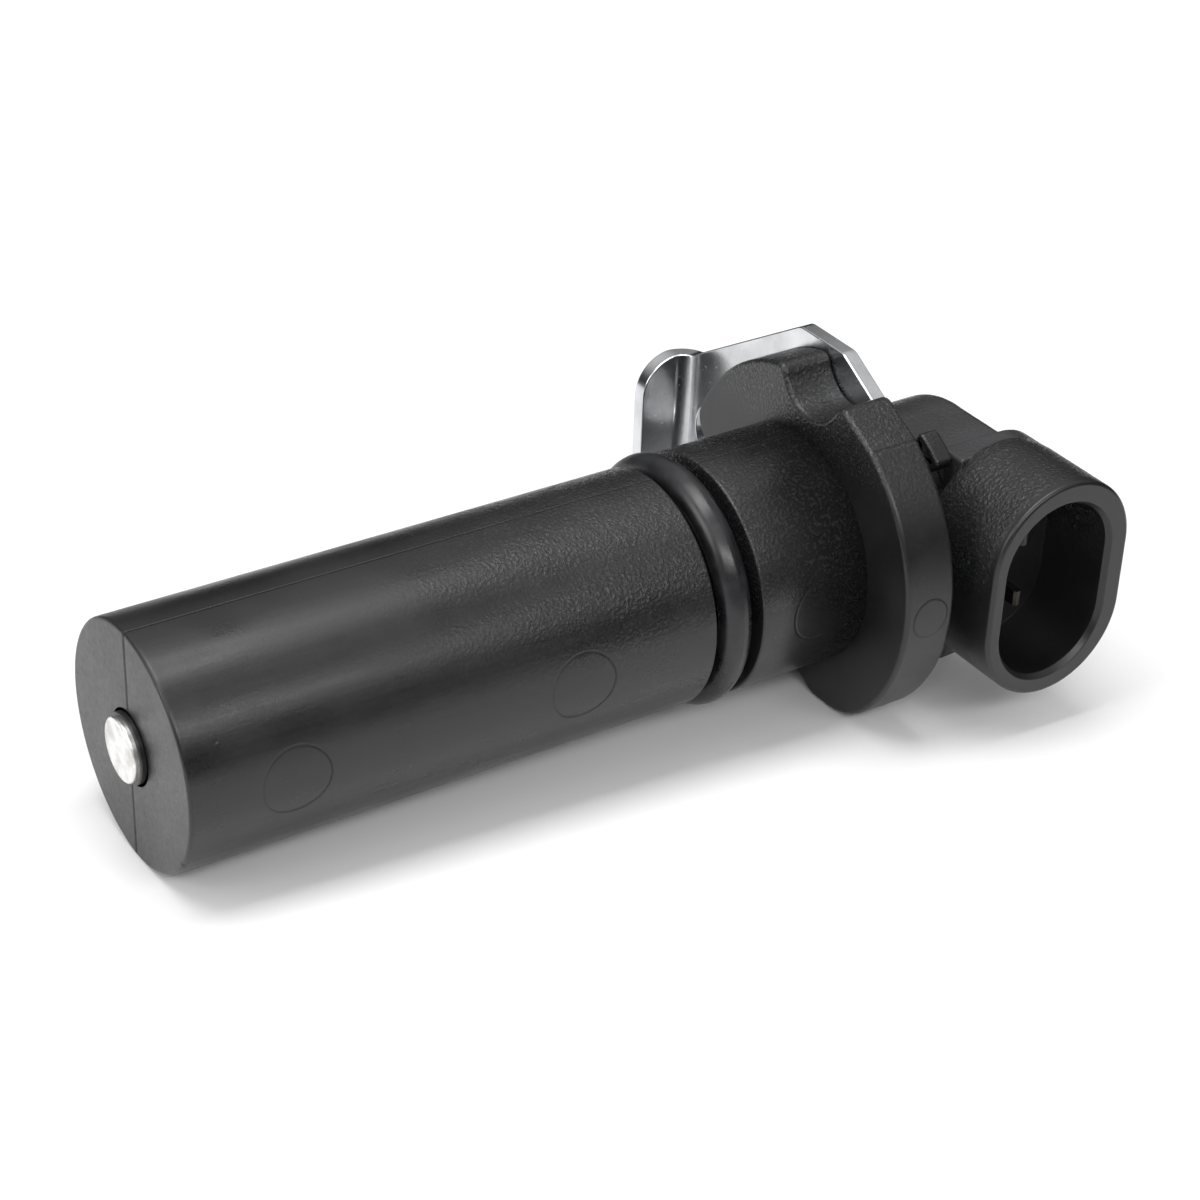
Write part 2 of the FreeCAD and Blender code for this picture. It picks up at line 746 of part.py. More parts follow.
o_ring = build_o_ring()
mounting_plate = build_plate()
pole_piece = build_pole_piece()
magnet = build_magnet()
coil_winding = build_winding()
winding_tape = build_tape()
terminal_upper = build_terminal("terminal_upper", 1)
terminal_lower = build_terminal("terminal_lower", -1)
lead_upper = build_lead("coil_lead_upper", 1)
lead_lower = build_lead("coil_lead_lower", -1)
solder_upper = build_solder("solder_joint_upper", 1)
solder_lower = build_solder("solder_joint_lower", -1)
terminals = [terminal_upper, terminal_lower]
leads = [lead_upper, lead_lower]
bobbin = cut_around("bobbin", build_bobbin_form(), leads)
terminal_holder = cut_around("terminal_holder", build_holder_form(),
                             terminals + leads + [solder_upper, solder_lower])
housing = cut_around("housing", build_housing_form(), [build_core_room()] + terminals)

NODES = {
    "housing": housing,
    "o_ring": o_ring,
    "mounting_plate": mounting_plate,
    "pole_piece": pole_piece,
    "magnet": magnet,
    "bobbin": bobbin,
    "coil_winding": coil_winding,
    "winding_tape": winding_tape,
    "terminal_holder": terminal_holder,
    "terminal_upper": terminal_upper,
    "terminal_lower": terminal_lower,
    "coil_lead_upper": lead_upper,
    "coil_lead_lower": lead_lower,
    "solder_joint_upper": solder_upper,
    "solder_joint_lower": solder_lower,
}

doc.recompute()
for item in doc.Objects:
    if "Invalid" in item.State or "Error" in item.State:
        raise RuntimeError(item.Name + " did not build: " + str(item.State))
for name, item in NODES.items():
    shape = item.Shape
    if shape.isNull() or not shape.isValid() or len(shape.Solids) != 1:
        raise RuntimeError(name + " is not one valid solid: " + str(len(shape.Solids)))

os.makedirs("parts", exist_ok=True)
for name, item in NODES.items():
    item.Shape.exportStep("parts/" + name + ".step")
    print(name, "volume", round(item.Shape.Volume, 1))
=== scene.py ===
import math

import bmesh
import bpy
import numpy as np
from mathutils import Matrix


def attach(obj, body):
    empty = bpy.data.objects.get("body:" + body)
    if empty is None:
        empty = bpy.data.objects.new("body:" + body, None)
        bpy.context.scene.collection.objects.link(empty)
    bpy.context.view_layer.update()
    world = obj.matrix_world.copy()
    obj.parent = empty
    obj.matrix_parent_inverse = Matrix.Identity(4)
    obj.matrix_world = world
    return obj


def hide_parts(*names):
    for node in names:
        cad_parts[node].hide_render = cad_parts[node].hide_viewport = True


# Crankshaft position sensor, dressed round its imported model.  Sizes are written in millimetres
# and made metres with MM.  X runs along the nose to the rear, and the connector opens to -Y.

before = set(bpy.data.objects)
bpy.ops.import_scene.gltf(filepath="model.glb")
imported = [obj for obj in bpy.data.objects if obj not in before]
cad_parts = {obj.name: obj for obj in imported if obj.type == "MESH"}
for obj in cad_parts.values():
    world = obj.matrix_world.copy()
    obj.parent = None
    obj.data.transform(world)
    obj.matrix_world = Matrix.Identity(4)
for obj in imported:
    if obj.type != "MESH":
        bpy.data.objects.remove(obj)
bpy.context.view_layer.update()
MM = 0.001
TURN = 2 * math.pi

# Sizes that the solids have too.  Angles are in degrees, from +Y towards +Z, and places in the
# flange's plane are (y, z).
NOSE_END = -66.6
NOSE_R = 11.0
GROOVE_FRONT = -16.1
GROOVE_BACK = -11.4
GROOVE_R = 8.7
COLLAR_R = 11.33
FLANGE_R = 17.1
FLANGE_BACK = 5.3
FLANGE_FLAT = 14.3
FLANGE_CORNER = 8.0
BOLT_PLACE = (20.0, 0.0)
RELIEF_R = 6.5
RELIEF_CORNER = 2.2
SCALLOP_PLACE = (-0.9, 17.4)
SCALLOP_R = 4.1
SCALLOP_CORNER = 1.1
NOTCH_PLACE = (-0.9, -18.0)
NOTCH_R = 5.0
NOTCH_CORNER = 2.5
PLATE_BACK = 6.8
THROAT_R = 8.6
REAR_R = 9.75
REAR_END = 18.7
PIN_OUT = 1.0
PIN_R = 2.85
PIN_HEAD_R = 4.5
PIN_HEAD = (-33.9, -31.9)
SPIGOT_R = 3.4
CORD_R = 1.5
STOP_ANGLES = (180 - 47.7, 180 - 63.7)
STOP_R = (7.8, 13.15)
STOP_X = (8.9, 10.9)
SHROUD_X = 15.4
SHROUD_HALF = 7.56
SHROUD_RISE = 10.54 - 7.56
SHROUD_WALL = 1.78
SHROUD_FRONT = -19.2
SOCKET_FLOOR = -10.9
LOCK_Y = (-16.0, -12.4)
LOCK_RISE = 1.5
LOCK_HALF = 2.5

# Sizes of what is drawn only here.
FACET_END = 125.5
FLANGE_ROUND = 0.45
FLANGE_INSET = 0.95
SLEEVE_OUT = 0.5
SLEEVE_R = 3.14
RIDGE = 0.02
PLATE_NEAR = 14.7
PLATE_NEAR_ANGLES = (118, 200)
PLATE_ROUND = 0.12
NECK_FRONT = 9.3
NECK_REAR = REAR_END - 0.02
NECK_HALF = 9.74
NECK_STEP = -6.9
BLOCK_FRONT = 10.9
BLOCK_REAR = 22.95
BLOCK_TOP = 10.15
BLOCK_LOW = (-11.2, -10.4)
BLOCK_ROUND = 6.4
BLOCK_END = -9.7
SHROUD_START = -9.4
OUTSIDE_BACK = 0.3
OUTSIDE_UP = 0.12
OUTSIDE_MORE = 0.24
MARK_LINE = 0.10
RIM_GRAIN = (-18.9, -17.8)


# ---------------------------------------------------------------- outlines

def arc(centre, radius, start, end, steps):
    """Points centre + radius (cos a, sin a), with a from start to end in degrees."""
    a = np.radians(np.linspace(start, end, steps))
    return np.stack([centre[0] + radius * np.cos(a), centre[1] + radius * np.sin(a)], -1)


def softened(corners, radii, steps=7, closed=False, support=0.35):
    """A line through the corners, each one swapped for an arc tangent to both its sides, with a
    point on each side a little way off the arc, so that the sides shade flat."""
    corners = np.asarray(corners, float)
    out = []
    count = len(corners)
    for i in range(count):
        if not closed and i in (0, count - 1):
            out.append(corners[i:i + 1])
            continue
        here = corners[i]
        back = corners[i - 1] - here
        ahead = corners[(i + 1) % count] - here
        lengths = np.linalg.norm(back), np.linalg.norm(ahead)
        back, ahead = back / lengths[0], ahead / lengths[1]
        half = math.acos(max(-1.0, min(1.0, float(back @ ahead)))) / 2
        radius = radii[i]
        if radius <= 0 or half > math.radians(89.5):
            out.append(here[None])
            continue
        reach = min(radius / math.tan(half), 0.45 * min(lengths))
        radius = reach * math.tan(half)
        bisector = (back + ahead) / np.linalg.norm(back + ahead)
        centre = here + bisector * radius / math.sin(half)
        start = here + back * reach - centre
        t = np.linspace(0, 1, steps)[:, None]
        sweep = math.pi - 2 * half
        end = here + ahead * reach - centre
        curve = (np.sin((1 - t) * sweep) * start + np.sin(t * sweep) * end) / math.sin(sweep)
        extra = min(reach * support, 0.03 * min(lengths))
        out.append((here + back * (reach + extra))[None])
        out.append(centre + curve)
        out.append((here + ahead * (reach + extra))[None])
    return np.concatenate(out)


def bite(radius, centre, bite_radius, corner):
    """Where a round bite enters a disc of the given radius: an arc of the corner's radius, the
    bite's own arc and the other corner, as points and outward normals, counter-clockwise."""
    centre = np.asarray(centre, float)
    far = np.linalg.norm(centre)
    along = ((radius - corner) ** 2 + far ** 2 - (bite_radius + corner) ** 2) / (2 * far)
    aside = math.sqrt((radius - corner) ** 2 - along ** 2)
    u = centre / far
    v = np.array([-u[1], u[0]])
    spots, faces = [], []
    for side in (-1, 1):
        middle = along * u + side * aside * v
        to_rim = math.degrees(math.atan2(middle[1], middle[0]))
        inward = centre - middle
        to_bite = math.degrees(math.atan2(inward[1], inward[0]))
        turn = (to_bite - to_rim + 180) % 360 - 180
        ends = (to_rim, to_rim + turn) if side < 0 else (to_rim + turn, to_rim)
        points = arc(middle, corner, ends[0], ends[1], 14)
        spots.append(points)
        faces.append((points - middle) / corner)
    first = spots[0][-1] - centre
    last = spots[1][0] - centre
    a = math.degrees(math.atan2(first[1], first[0]))
    sweep = (math.degrees(math.atan2(last[1], last[0])) - a + 180) % 360 - 180
    points = arc(centre, bite_radius, a, a + sweep, 40)[1:-1]
    spots.insert(1, points)
    faces.insert(1, (centre - points) / bite_radius)
    return np.concatenate(spots), np.concatenate(faces)


def angle_of(point):
    """The point's direction from the axis, from 0 to 360 degrees."""
    return math.degrees(math.atan2(point[1], point[0])) % 360


def flange_outline():
    """The flange seen from the front, as points and outward normals in the YZ plane.  From the
    scallop to FACET_END degrees its rim is a straight facet, and below it has a flat with round
    corners and a round notch near its middle."""
    relief, relief_n = bite(FLANGE_R, BOLT_PLACE, RELIEF_R, RELIEF_CORNER)
    scallop, scallop_n = bite(FLANGE_R, SCALLOP_PLACE, SCALLOP_R, SCALLOP_CORNER)
    corner_z = FLANGE_CORNER - FLANGE_FLAT
    side = math.sqrt((FLANGE_R - FLANGE_CORNER) ** 2 - corner_z ** 2)
    tilt = math.degrees(math.atan2(-corner_z, side))
    notch = np.array(NOTCH_PLACE)
    lip_z = NOTCH_CORNER - FLANGE_FLAT
    rise = lip_z - notch[1]
    off = math.sqrt((NOTCH_R + NOTCH_CORNER) ** 2 - rise ** 2)
    lean = math.degrees(math.atan2(rise, off))
    spots, faces = [relief], [relief_n]

    def add(points, normals):
        spots.append(points)
        faces.append(normals)

    def rim(a, b):
        points = arc((0, 0), FLANGE_R, a, b, max(3, int(abs(b - a) / 0.8)))[1:-1]
        add(points, points / FLANGE_R)

    def add_round(centre, radius, a, b, steps):
        points = arc(centre, radius, a, b, steps)
        add(points, (points - centre) / radius)

    rim(angle_of(relief[-1]), angle_of(scallop[0]))
    add(scallop, scallop_n)
    chord = arc((0, 0), FLANGE_R, FACET_END, FACET_END, 1)[0] - scallop[-1]
    face = np.array([chord[1], -chord[0]]) / np.linalg.norm(chord)
    t = np.linspace(0, 1, 24)[1:-1, None]
    add(scallop[-1] + chord * t, np.repeat(face[None], len(t), axis=0))
    rim(FACET_END, 180 + tilt)
    add_round((-side, corner_z), FLANGE_CORNER, 180 + tilt, 270, 24)
    add_round((notch[0] - off, lip_z), NOTCH_CORNER, 270, 360 - lean, 12)
    points = arc(notch, NOTCH_R, 180 - lean, lean, 30)[1:-1]
    add(points, (notch - points) / NOTCH_R)
    add_round((notch[0] + off, lip_z), NOTCH_CORNER, 180 + lean, 270, 12)
    add_round((side, corner_z), FLANGE_CORNER, 270, 360 - tilt, 24)
    rim(360 - tilt, angle_of(relief[0]))
    return np.concatenate(spots), np.concatenate(faces)


def oval(half, rise, steps=48):
    """An upright oval: two half circles of radius half, their centres rise above and below."""
    top = arc((0, rise), half, 0, 180, steps)
    bottom = arc((0, -rise), half, 180, 360, steps)
    t = np.linspace(0, 1, 10)[1:-1, None]
    left = top[-1] + (bottom[0] - top[-1]) * t
    right = bottom[-1] + (top[0] - bottom[-1]) * t
    return np.concatenate([top, left, bottom, right])


# ---------------------------------------------------------------- pieces

def add_mesh(name, points, faces):
    """A smooth-shaded piece of the given points, in millimetres, with its faces outward."""
    mesh = bpy.data.meshes.new(name)
    mesh.from_pydata((np.asarray(points) * MM).tolist(), [], faces)
    mesh.polygons.foreach_set("use_smooth", [True] * len(mesh.polygons))
    mesh.update()
    piece = bpy.data.objects.new(name, mesh)
    bpy.context.scene.collection.objects.link(piece)
    return piece


def skin(name, rings):
    """A closed piece through rings[k, m], k closed rings of m points each.  Both ends are
    closed with a fan round the middle of the end ring, and the faces turn outward."""
    rings = np.asarray(rings, float)
    k, m = rings.shape[:2]
    grid = np.arange(k * m).reshape(k, m)
    around = np.roll(grid, -1, axis=1)
    quads = np.stack([grid[:-1], around[:-1], around[1:], grid[1:]], -1).reshape(-1, 4)
    points = np.concatenate([rings.reshape(-1, 3), rings[0].mean(0)[None],
                             rings[-1].mean(0)[None]])
    first = np.stack([around[0], grid[0], np.full(m, k * m)], -1)
    last = np.stack([grid[-1], around[-1], np.full(m, k * m + 1)], -1)
    a, b, c, d = (points[quads[:, i]] for i in range(4))
    volume = np.einsum("ij,ij->", a, np.cross(b, c)) + np.einsum("ij,ij->", a, np.cross(c, d))
    for tri in (first, last):
        p, q, r = (points[tri[:, i]] for i in range(3))
        volume += np.einsum("ij,ij->", p, np.cross(q, r))
    faces = quads.tolist() + first.tolist() + last.tolist()
    if volume < 0:
        faces = [face[::-1] for face in faces]
    return add_mesh(name, points, faces)


def turned(name, profile, steps=288):
    """The profile of (x, r) turned about X: (x, r cos a, r sin a)."""
    profile = np.asarray(profile, float)
    a = np.linspace(0, TURN, steps, endpoint=False)
    x = np.repeat(profile[:, :1], steps, axis=1)
    r = profile[:, 1:]
    return skin(name, np.stack([x, r * np.cos(a), r * np.sin(a)], -1))


# ---------------------------------------------------------------- materials

class Socket:
    """An output of a shader node.  Python's operators on it make Math nodes."""

    def __init__(self, paint, out):
        self.paint = paint
        self.out = out

    def __add__(self, other):
        return self.paint.math("ADD", self, other)

    def __radd__(self, other):
        return self.paint.math("ADD", other, self)

    def __sub__(self, other):
        return self.paint.math("SUBTRACT", self, other)

    def __rsub__(self, other):
        return self.paint.math("SUBTRACT", other, self)

    def __mul__(self, other):
        return self.paint.math("MULTIPLY", self, other)

    def __rmul__(self, other):
        return self.paint.math("MULTIPLY", other, self)


def add_node(tree, kind, settings, inputs):
    """One node: its settings first, then the values or links of its inputs."""
    node = tree.nodes.new(kind)
    for key, value in settings.items():
        setattr(node, key, value)
    for key, value in inputs.items():
        source = value.out if isinstance(value, Socket) else value
        if isinstance(source, bpy.types.NodeSocket):
            tree.links.new(source, node.inputs[key])
        else:
            node.inputs[key].default_value = source
    return node


class Paint:
    """A material: its shader, and the nodes that feed it."""

    def __init__(self, name, roughness, metallic=0.0, **fixed):
        self.material = bpy.data.materials.new(name)
        self.material.use_nodes = True
        self.tree = self.material.node_tree
        self.shader = self.tree.nodes["Principled BSDF"]
        self.shader.inputs["Roughness"].default_value = roughness
        self.shader.inputs["Metallic"].default_value = metallic
        for key, value in fixed.items():
            self.shader.inputs[key.replace("_", " ")].default_value = value
        place = self.node("ShaderNodeTexCoord", {}, {})
        self.place = Socket(self, place.outputs["Object"])

    def node(self, kind, settings, inputs):
        """One node in this material."""
        return add_node(self.tree, kind, settings, inputs)

    def math(self, operation, a, b=0.0):
        """A Math node on one or two numbers."""
        node = self.node("ShaderNodeMath", {"operation": operation}, {0: a, 1: b})
        return Socket(self, node.outputs[0])

    def between(self, value, low, high, out_low=0.0, out_high=1.0):
        """The value from low to high, carried smoothly to out_low to out_high."""
        node = self.node("ShaderNodeMapRange", {"interpolation_type": "SMOOTHSTEP"},
                         {"Value": value, "From Min": low, "From Max": high,
                          "To Min": out_low, "To Max": out_high})
        return Socket(self, node.outputs["Result"])

    def noise(self, grain, detail=3.0, rough=0.55, place=None):
        """Noise whose grain is that many millimetres across."""
        node = self.node("ShaderNodeTexNoise", {},
                         {"Vector": place or self.place, "Scale": 1.0 / (grain * MM),
                          "Detail": detail, "Roughness": rough})
        return Socket(self, node.outputs["Fac"])

    def axes(self):
        """X, Y and Z of the piece, in metres."""
        node = self.node("ShaderNodeSeparateXYZ", {}, {0: self.place})
        return [Socket(self, node.outputs[i]) for i in range(3)]

    def stretched(self, scale):
        """The piece's coordinates, each axis times its own number."""
        node = self.node("ShaderNodeVectorMath", {"operation": "MULTIPLY"},
                         {0: self.place, 1: scale})
        return Socket(self, node.outputs[0])

    def blend(self, factor, a, b):
        """A colour that goes from a to b with the factor."""
        node = self.node("ShaderNodeMix", {"data_type": "RGBA"}, {0: factor, 6: a, 7: b})
        return Socket(self, node.outputs[2])

    def feed(self, name, value):
        """Link the value to the shader's socket of that name."""
        self.tree.links.new(value.out, self.shader.inputs[name])

    def bump(self, height, depth):
        """Relief: a height of 1 stands that many millimetres proud."""
        node = self.node("ShaderNodeBump", {}, {"Height": height, "Distance": depth * MM})
        self.tree.links.new(node.outputs[0], self.shader.inputs["Normal"])


def rgb(r, g, b):
    return (r, g, b, 1.0)


def black_moulding(name, grain, relief, roughness, shade, marks=(), seams_and_crease_shade=(), nicks=(),
                   grain_and_glints_above=None, drag=0.0):
    """Black glass-filled nylon of the given grey: a fine grain so many millimetres across,
    cloudy patches of gloss and faint dust.  Lines and dents dip by exp(-(d / w)^2) at distance d:
    each mark (x, z, radius, lean) is a circle on the -Y side, deepest towards lean degrees, each
    line along X (low end, high end, width, angle) lies on the plane at that angle from +Y and
    draws a moulding seam, and where it sits on a crease it is painted shade along that edge, and
    each nick (x, y, z, radius) is a round dent.  The coarse grain's place (low x, high x, depth,
    low z, high z) says where a coarse grain comes in and how deep it is, and its lighter flecks
    there are painted glints on the upper side.  drag is the strength of the long lines along X."""
    p = Paint(name, roughness, IOR=1.5)
    x, y, z = p.axes()
    fine = p.noise(grain, 5.0, 0.65)
    cloud = p.noise(9.0, 3.0, 0.55)
    speck = p.between(p.noise(0.9, 2.0, 0.5), 0.68, 0.80)
    lines = []
    for at_x, at_z, radius, lean in marks:
        dx = x - at_x * MM
        dz = z - at_z * MM
        off = (p.math("SQRT", dx * dx + dz * dz) - radius * MM) * (1.0 / (MARK_LINE * MM))
        toward = dx * math.cos(math.radians(lean)) + dz * math.sin(math.radians(lean))
        lines.append(p.math("EXPONENT", off * off * -1.0) * p.math("LESS_THAN", y, 0.0)
                     * p.between(toward, -radius * MM, radius * MM, 0.35, 1.0))
    for low, high, width, lean in seams_and_crease_shade:
        off = y * math.sin(math.radians(lean)) - z * math.cos(math.radians(lean))
        off = off * (1.0 / (width * MM))
        lines.append(p.math("EXPONENT", off * off * -1.0)
                     * p.math("GREATER_THAN", x, low * MM) * p.math("LESS_THAN", x, high * MM))
    for at_x, at_y, at_z, radius in nicks:
        dx, dy, dz = x - at_x * MM, y - at_y * MM, z - at_z * MM
        far = (dx * dx + dy * dy + dz * dz) * (-1.0 / (radius * MM) ** 2)
        lines.append(p.math("EXPONENT", far))
    shade_to = p.blend(p.between(cloud, 0.35, 0.65) * 0.7 + speck * 0.3,
                       rgb(shade, shade, shade * 1.05),
                       rgb(shade * 1.7, shade * 1.7, shade * 1.8))
    gloss = p.between(cloud, 0.3, 0.7, roughness - 0.05, roughness + 0.05) + (fine - 0.5) * 0.16
    depth = fine * relief
    if drag:
        streak = p.noise(0.55, 3.0, 0.6, p.stretched((0.06, 1.0, 1.0)))
        gloss = gloss + (streak - 0.5) * drag
        depth = depth + streak * (drag * 0.03)
    if grain_and_glints_above is not None:
        low_x, high_x, coarse_depth, low_z, high_z = grain_and_glints_above
        coarse = p.noise(grain * 1.05, 3.0, 0.55)
        here = (p.between(y, RIM_GRAIN[0] * MM, RIM_GRAIN[1] * MM)
                * p.between(x, low_x * MM, high_x * MM) * p.between(z, low_z * MM, high_z * MM))
        # The coarse grain's lighter flecks, only on the given upper sides, are painted glints; the
        # relief and gloss below are the real grain.
        painted_glint_flecks = p.between(coarse, 0.48, 0.72) * here
        depth = depth + coarse * here * coarse_depth
        shade_to = p.blend(painted_glint_flecks * 0.5, shade_to, rgb(0.055, 0.055, 0.057))
        gloss = gloss + (0.35 - p.between(coarse, 0.35, 0.65)) * here * 0.22
    if lines:
        line = lines[0]
        for other in lines[1:]:
            line = p.math("MAXIMUM", line, other)
        shade_to = p.blend(line * 0.92, shade_to, rgb(0.001, 0.001, 0.001))
        gloss = gloss + line * 0.3
        depth = depth - line * 0.05
    p.feed("Base Color", shade_to)
    p.feed("Roughness", gloss)
    p.bump(depth, 1.0)
    return p.material


def seal_rubber():
    """Black rubber: smooth and satin, with soft clouds of bloom."""
    p = Paint("seal_rubber", 0.4, IOR=1.5)
    cloud = p.noise(3.0, 3.0, 0.6)
    p.feed("Base Color", p.blend(p.between(cloud, 0.35, 0.7), rgb(0.008, 0.008, 0.009),
                                 rgb(0.018, 0.018, 0.020)))
    p.feed("Roughness", p.between(cloud, 0.3, 0.7, 0.25, 0.38))
    p.bump(p.noise(0.25, 2.0), 0.004)
    return p.material


def zinc_steel():
    """Bright zinc plate on pressed steel: fine rolling lines, faint clouds and small scuffs."""
    p = Paint("zinc_plate", 0.22, 1.0)
    cloud = p.noise(5.0, 4.0, 0.6)
    lines = p.noise(0.5, 3.0, 0.6, p.stretched((1.0, 0.12, 1.0)))
    scuff = p.between(p.noise(0.7, 5.0, 0.7), 0.60, 0.72)
    p.feed("Base Color", p.blend(p.between(cloud, 0.3, 0.7), rgb(0.72, 0.73, 0.745),
                                 rgb(0.54, 0.55, 0.565)))
    p.feed("Roughness", p.between(cloud, 0.3, 0.7, 0.16, 0.27) + scuff * 0.12)
    p.bump(lines, 0.004)
    return p.material


def pole_iron():
    """The turned end of an iron pin: rings round its axis, dull grey with a warm film."""
    p = Paint("pole_iron", 0.34, 1.0)
    y, z = p.axes()[1:]
    ring = p.math("SQRT", y * y + z * z)
    rings = p.math("SINE", ring * (TURN / (0.11 * MM)))
    cloud = p.noise(1.6, 4.0, 0.65)
    p.feed("Base Color", p.blend(p.between(cloud, 0.35, 0.7), rgb(0.86, 0.86, 0.85),
                                 rgb(0.62, 0.60, 0.57)))
    p.feed("Roughness", p.between(cloud, 0.3, 0.7, 0.28, 0.46))
    p.bump(rings * 0.5 + p.noise(0.2), 0.005)
    return p.material


def plain_metal(name, light, dark, roughness, grain=0.4):
    """A metal with a fine uneven film over it."""
    p = Paint(name, roughness, 1.0)
    cloud = p.noise(grain * 4, 4.0, 0.6)
    p.feed("Base Color", p.blend(p.between(cloud, 0.3, 0.7), light, dark))
    p.feed("Roughness", p.between(cloud, 0.3, 0.7, roughness - 0.06, roughness + 0.08))
    p.bump(p.noise(grain), 0.004)
    return p.material


def copper_wire():
    """Enamelled copper wire, laid in close turns round X."""
    p = Paint("copper_wire", 0.3, 1.0, Coat_Weight=0.5, Coat_Roughness=0.12)
    x = p.axes()[0]
    turns = p.math("SINE", x * (TURN / (0.12 * MM)))
    p.feed("Base Color", p.blend(p.between(p.noise(1.2), 0.35, 0.65), rgb(0.62, 0.25, 0.11),
                                 rgb(0.45, 0.16, 0.07)))
    p.bump(turns, 0.02)
    return p.material


def film_tape():
    """Amber film tape, glossy, with the lap's faint edges."""
    p = Paint("film_tape", 0.15, 0.0, IOR=1.5)
    x, y = p.axes()[:2]
    laps = p.math("FRACT", x * (1.0 / (6.0 * MM)) + y * 20.0)
    p.feed("Base Color", p.blend(p.between(laps, 0.0, 0.12), rgb(0.42, 0.24, 0.03),
                                 rgb(0.58, 0.36, 0.06)))
    p.bump(laps, 0.03)
    return p.material


nose_black = black_moulding(
    "moulding_nose", 0.30, 0.010, 0.33, 0.0080,
    marks=[(-57.1, 0.0, 3.1, -40.0), (-29.8, 0.0, 3.15, -40.0), (-5.0, 0.0, 2.9, 120.0)],
    seams_and_crease_shade=[(-66.7, -66.45, 0.2, 90.0), (-66.45, 0.0, 0.08, 90.0)],
    nicks=[(-66.6, -9.1, -6.1, 0.28), (-63.5, -9.6, 5.2, 0.14)],
    grain_and_glints_above=(-52.0, -18.0, 0.10, -2.0, 8.0), drag=0.22)
# Painted shade: the flange and turn stop are the same black moulding as the nose but get a darker
# grey, for the flange face that lies in shade.
flange_black_painted_darker = black_moulding("moulding_flange_painted_darker", 0.30, 0.014, 0.36, 0.0070,
                              # The line at FACET_END is painted shade along the facet's edge on
                              # the flange rim, not a moulding seam.
                              marks=[(2.7, 0.0, 1.9, 115.0)], seams_and_crease_shade=[(0.5, 5.2, 0.12, 125.5)],
                              grain_and_glints_above=(-2.0, -1.0, 0.10, 8.0, 14.0))
# Painted light: the rear housing and neck get three times the nose's grey for their lit upper
# faces, though they are the same black moulding.
rear_black_painted_lighter = black_moulding("moulding_rear_painted_lighter", 0.32, 0.012, 0.33, 0.0240,
                            grain_and_glints_above=(0.0, 1.0, 0.05, 2.0, 9.0))
# Painted shade: the shroud gets a darker grey than the nose for its shaded side, though it is the
# same black moulding.
shroud_black_painted_darker = black_moulding("moulding_shroud_painted_darker", 0.30, 0.012, 0.34, 0.0062,
                              grain_and_glints_above=(0.0, 1.0, 0.12, -2.0, 6.0))
rubber = seal_rubber()
zinc = zinc_steel()
iron = pole_iron()
spool = black_moulding("spool_plastic", 0.5, 0.004, 0.36, 0.010)
magnet_grey = plain_metal("magnet_alloy", rgb(0.32, 0.32, 0.33), rgb(0.22, 0.22, 0.23), 0.4)
tinned = plain_metal("tinned_brass", rgb(0.09, 0.085, 0.075), rgb(0.055, 0.05, 0.045), 0.5)
solder_bright = plain_metal("solder", rgb(0.68, 0.69, 0.70), rgb(0.55, 0.56, 0.57), 0.25)
copper = copper_wire()
tape = film_tape()


def dress(piece, material, nodes=()):
    """Give a new piece its finish, its body and the nodes it stands for."""
    piece.data.materials.clear()
    piece.data.materials.append(material)
    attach(piece, "root")
    if nodes:
        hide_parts(*nodes)


# ---------------------------------------------------------------- the moulding

def make_nose():
    """Nose, seal groove and collar in one turned profile, from the pin's ring into the flange."""
    into = 0.3
    corners = [(NOSE_END, SPIGOT_R), (NOSE_END, NOSE_R), (GROOVE_FRONT, NOSE_R),
               (GROOVE_FRONT, GROOVE_R), (GROOVE_BACK, GROOVE_R), (GROOVE_BACK, COLLAR_R),
               (into, COLLAR_R), (into, 4.0)]
    radii = [0, 0.35, 0.18, 0.35, 0.35, 0.22, 0, 0]
    dress(turned("housing_nose", softened(corners, radii)), nose_black,
          ["housing"])


def make_flange():
    """The seat flange: its outline carried along X, inset at both ends to round the edge."""
    points, normals = flange_outline()
    way = softened([(0, FLANGE_INSET), (0, 0), (FLANGE_BACK, 0), (FLANGE_BACK, FLANGE_INSET)],
                   [0, FLANGE_ROUND, FLANGE_ROUND, 0])
    place, inset = way[:, 0], way[:, 1]
    flat = points[None] - normals[None] * inset[:, None, None]
    x = np.repeat(place[:, None], len(points), axis=1)
    rings = np.concatenate([x[..., None], flat], -1)
    dress(skin("housing_flange", rings), flange_black_painted_darker, ["housing"])


def make_rear():
    """The rear housing behind the plate, with the throat that passes through the plate."""
    start = FLANGE_BACK - 0.5
    corners = [(start, 3.0), (start, THROAT_R), (PLATE_BACK, THROAT_R), (PLATE_BACK, REAR_R),
               (REAR_END, REAR_R), (REAR_END, 1.0)]
    dress(turned("housing_rear", softened(corners, [0, 0, 0.1, 0.25, 1.2, 0], 10)), rear_black_painted_lighter,
          ["housing"])


def block(name, outline, place, along, inset_round):
    """A flat outline (a, b) carried from s = along[0] to along[1], with both ends inset along
    its normals to round the edge.  place(s, a, b) says which axis each of them is."""
    corners = [(along[0], inset_round * 2.5), (along[0], 0), (along[1], 0),
               (along[1], inset_round * 2.5)]
    way = softened(corners, [0, inset_round, inset_round, 0], 5)
    middle = outline.mean(0)
    step = np.roll(outline, -1, 0) - np.roll(outline, 1, 0)
    normal = np.stack([step[:, 1], -step[:, 0]], -1)
    normal /= np.linalg.norm(normal, axis=1, keepdims=True)
    if np.einsum("ij,ij->", normal, outline - middle) < 0:
        normal = -normal
    flat = outline[None] - normal[None] * way[:, 1][:, None, None]
    run = np.repeat(way[:, :1], len(outline), axis=1)
    return skin(name, place(run, flat[..., 0], flat[..., 1]))


